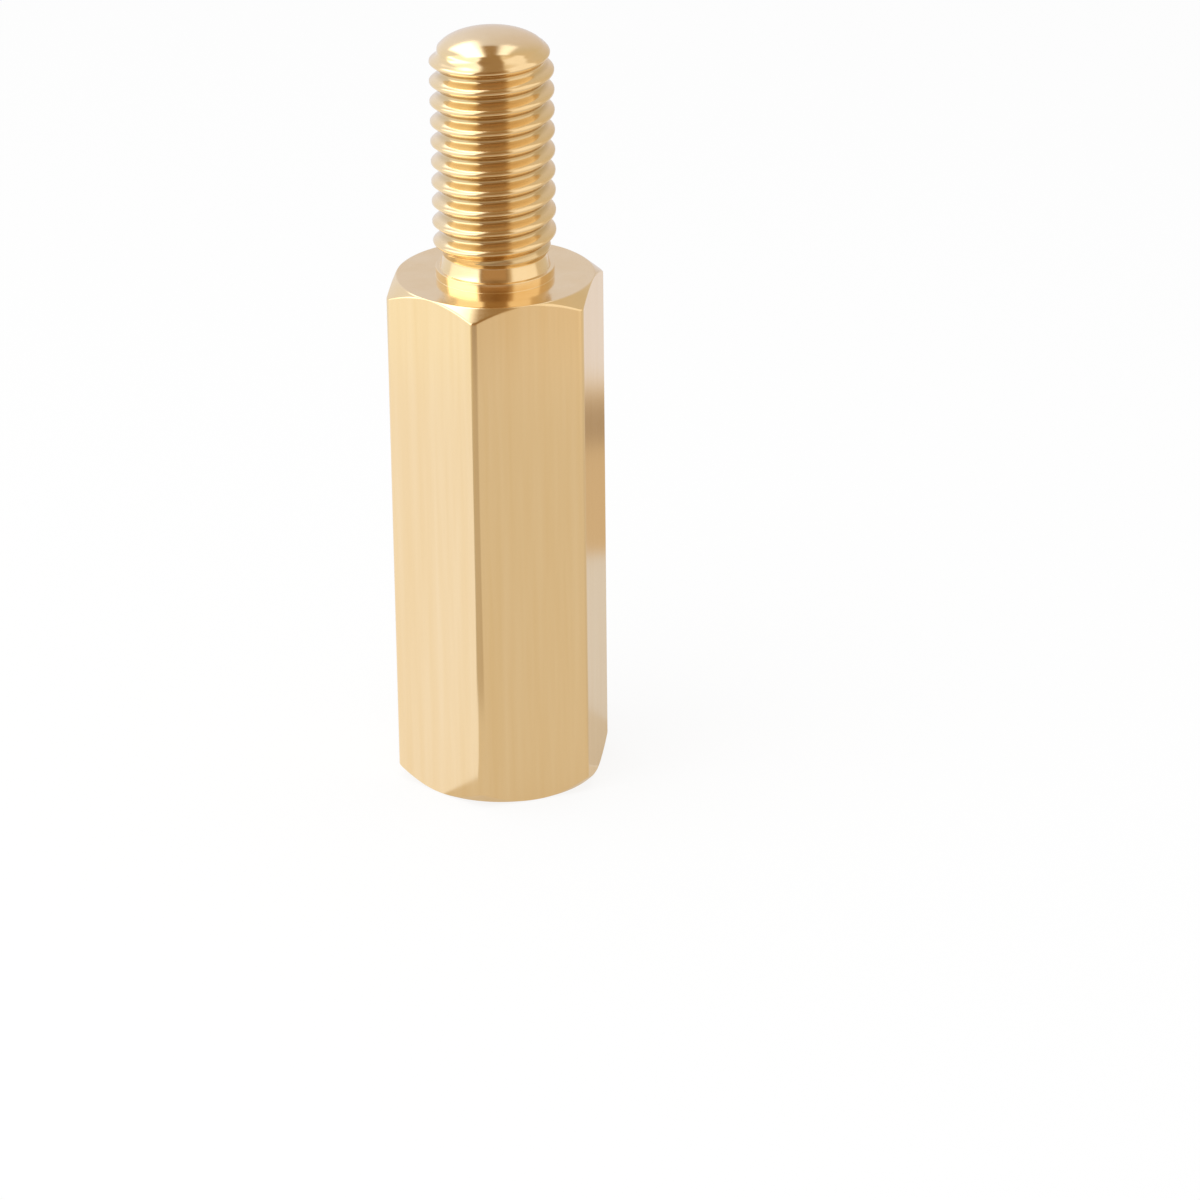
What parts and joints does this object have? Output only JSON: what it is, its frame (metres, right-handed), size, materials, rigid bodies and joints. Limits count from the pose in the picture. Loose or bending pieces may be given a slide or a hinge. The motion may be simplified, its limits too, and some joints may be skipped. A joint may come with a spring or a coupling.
{
  "type": "hex standoff",
  "caption": "Male-female hexagonal spacer turned from brass bar, with a threaded stud on top and a tapped hole in its base.",
  "frame": {"origin": "centre of the base, on the axis", "axes": "+Z along the axis from the base to the stud's tip, +X through one long corner of the hexagon"},
  "size_m": [0.0056, 0.0048, 0.0191],
  "materials": {
    "brass": "drawn flats and turned ends, bright and unplated"
  },
  "bodies": {
    "root": {"hex_standoff": "brass"}
  },
  "joints": []
}
